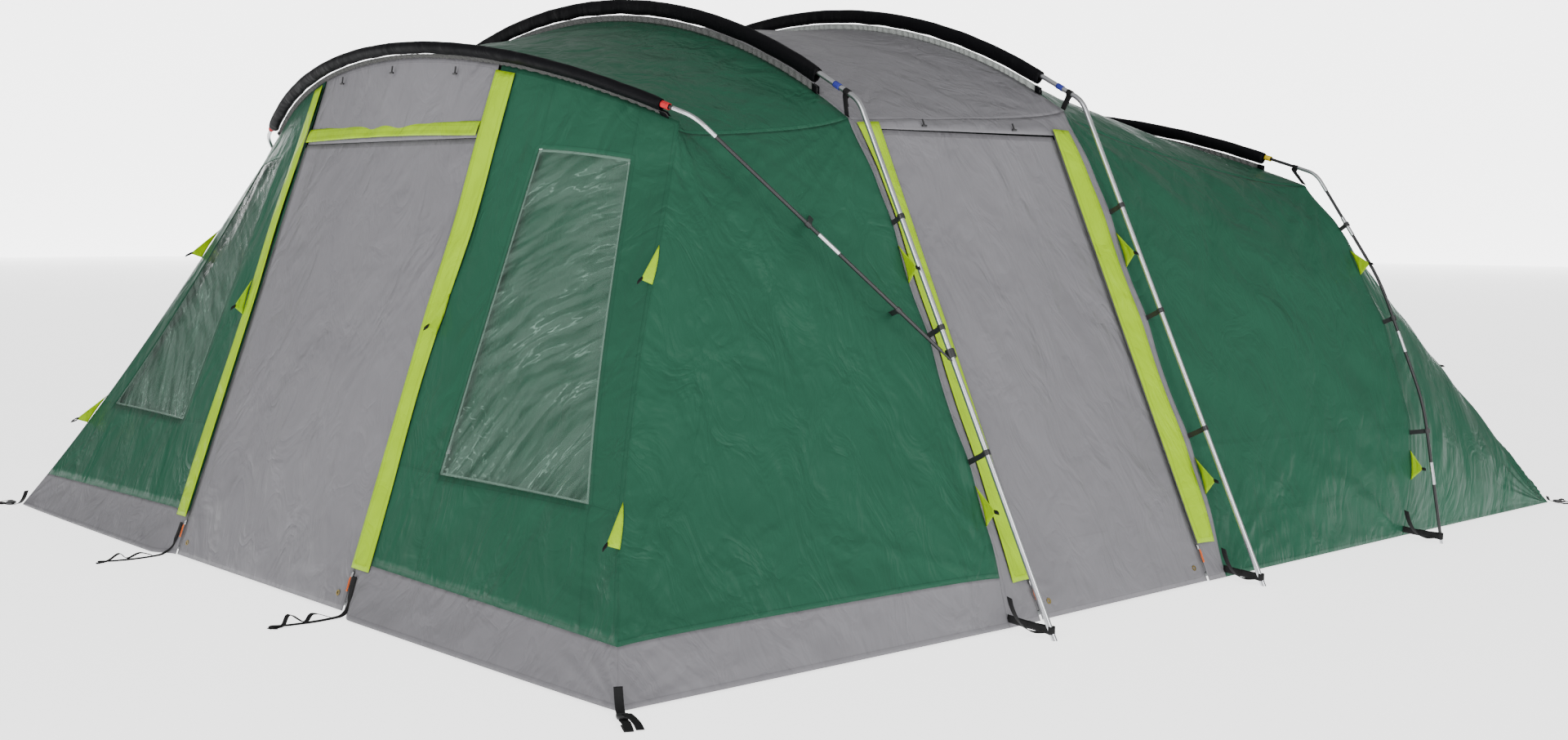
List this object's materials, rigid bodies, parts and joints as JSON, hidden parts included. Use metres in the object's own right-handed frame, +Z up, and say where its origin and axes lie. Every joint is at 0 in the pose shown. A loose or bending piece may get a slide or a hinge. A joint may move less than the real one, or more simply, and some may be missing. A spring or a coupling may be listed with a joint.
{
  "type": "tunnel tent",
  "caption": "Family tunnel tent on steel and fibreglass hoops, with a porch, a canopy front door, side doors and clear front windows",
  "frame": {"origin": "on the ground under the middle of the tent and its straps", "axes": "+Z up, +Y from the front door to the tail, +X to the right of someone inside who faces the tail"},
  "size_m": [4.8474, 5.635, 2.2038],
  "materials": {
    "green_cloth": "coated polyester flysheet cloth, slight sheen",
    "grey_cloth": "coated polyester flysheet cloth, slight sheen",
    "lime_cloth": "bright coated polyester",
    "black_sleeve": "woven sleeve cloth",
    "mesh": "fine mesh strip",
    "black_webbing": "ribbed nylon webbing and moulded fittings",
    "clear_film": "clear flexible film with creases",
    "floor_sheet": "woven polyethylene sheet",
    "steel": "zinc plated tube",
    "fibreglass": "black pultruded fibreglass",
    "brass": "bright rolled eyelet",
    "zip": "coil zip on woven tape",
    "slider": "nickel slider with an orange cord pull"
  },
  "bodies": {
    "tent": {"porch_roof": "green_cloth", "rear_roof": "green_cloth", "tail_panel": "green_cloth", "front_panel_right": "green_cloth", "front_panel_left": "green_cloth", "porch_wall_right": "green_cloth", "porch_wall_left": "green_cloth", "rear_wall_right": "green_cloth", "rear_wall_left": "green_cloth", "tail_side_right": "green_cloth", "tail_side_left": "green_cloth", "front_header": "grey_cloth", "porch_skirts": "grey_cloth", "middle_roof": "grey_cloth", "middle_wall_right": "grey_cloth", "middle_wall_left": "grey_cloth", "front_zip_covers": "lime_cloth", "side_zip_covers_right": "lime_cloth", "side_zip_covers_left": "lime_cloth", "guy_points": "lime_cloth", "porch_hoop_sleeve": "black_sleeve", "front_hoop_sleeve": "black_sleeve", "middle_hoop_sleeve": "black_sleeve", "rear_hoop_sleeve": "black_sleeve", "porch_hoop_sleeve_web": "mesh", "front_hoop_sleeve_web": "mesh", "middle_hoop_sleeve_web": "mesh", "rear_hoop_sleeve_web": "mesh", "pole_clips": "black_webbing", "peg_straps": "black_webbing", "door_toggles": "black_webbing", "porch_hoop_anchors": "black_webbing", "front_windows": "clear_film", "groundsheet": "floor_sheet", "front_hoop_leg_right": "steel", "front_hoop_leg_left": "steel", "middle_hoop_leg_right": "steel", "middle_hoop_leg_left": "steel", "front_hoop_roof_rod": "steel", "middle_hoop_roof_rod": "steel", "porch_hoop_ferrules": "steel", "rear_hoop_ferrules": "steel", "pole_feet": "steel", "porch_hoop_roof_rod": "fibreglass", "porch_hoop_legs": "fibreglass", "rear_hoop_roof_rod": "fibreglass", "rear_hoop_legs": "fibreglass", "zip_tapes": "zip"},
    "front_door": {"front_door": "grey_cloth", "front_door_eyelets": "brass"},
    "right_door": {"side_door_right": "grey_cloth", "side_door_eyelets_right": "brass"},
    "left_door": {"side_door_left": "grey_cloth", "side_door_eyelets_left": "brass"},
    "front_slider_right": {"front_zip_slider_right": "slider"},
    "front_slider_left": {"front_zip_slider_left": "slider"},
    "right_front_slider": {"side_zip_slider_front_right": "slider"},
    "right_rear_slider": {"side_zip_slider_rear_right": "slider"},
    "left_front_slider": {"side_zip_slider_front_left": "slider"},
    "left_rear_slider": {"side_zip_slider_rear_left": "slider"}
  },
  "joints": [
    {"name": "front_door_swing", "type": "hinge", "parent": "tent", "child": "front_door", "pos_m": [0, -1.9683, 1.57], "axis": [-1, 0, 0], "range_deg": [0, 72]},
    {"name": "right_door_swing", "type": "hinge", "parent": "tent", "child": "right_door", "pos_m": [1.49078, -0.4375, 1.61], "axis": [0, -1, 0], "range_deg": [0, 66]},
    {"name": "left_door_swing", "type": "hinge", "parent": "tent", "child": "left_door", "pos_m": [-1.49078, -0.4375, 1.61], "axis": [0, 1, 0], "range_deg": [0, 66]},
    {"name": "front_zip_right", "type": "slide", "parent": "tent", "child": "front_slider_right", "axis": [-0.0133, 0.3387, 0.9408], "range_m": [0, 1.497]},
    {"name": "front_zip_left", "type": "slide", "parent": "tent", "child": "front_slider_left", "axis": [0.0133, 0.3387, 0.9408], "range_m": [0, 1.497]},
    {"name": "right_zip_front", "type": "slide", "parent": "tent", "child": "right_front_slider", "axis": [-0.4213, -0.017, 0.9068], "range_m": [0, 1.601]},
    {"name": "left_zip_front", "type": "slide", "parent": "tent", "child": "left_front_slider", "axis": [0.4213, -0.017, 0.9068], "range_m": [0, 1.601]},
    {"name": "right_zip_rear", "type": "slide", "parent": "tent", "child": "right_rear_slider", "axis": [-0.4213, -0.0057, 0.9069], "range_m": [0, 1.601]},
    {"name": "left_zip_rear", "type": "slide", "parent": "tent", "child": "left_rear_slider", "axis": [0.4213, -0.0057, 0.9069], "range_m": [0, 1.601]}
  ]
}
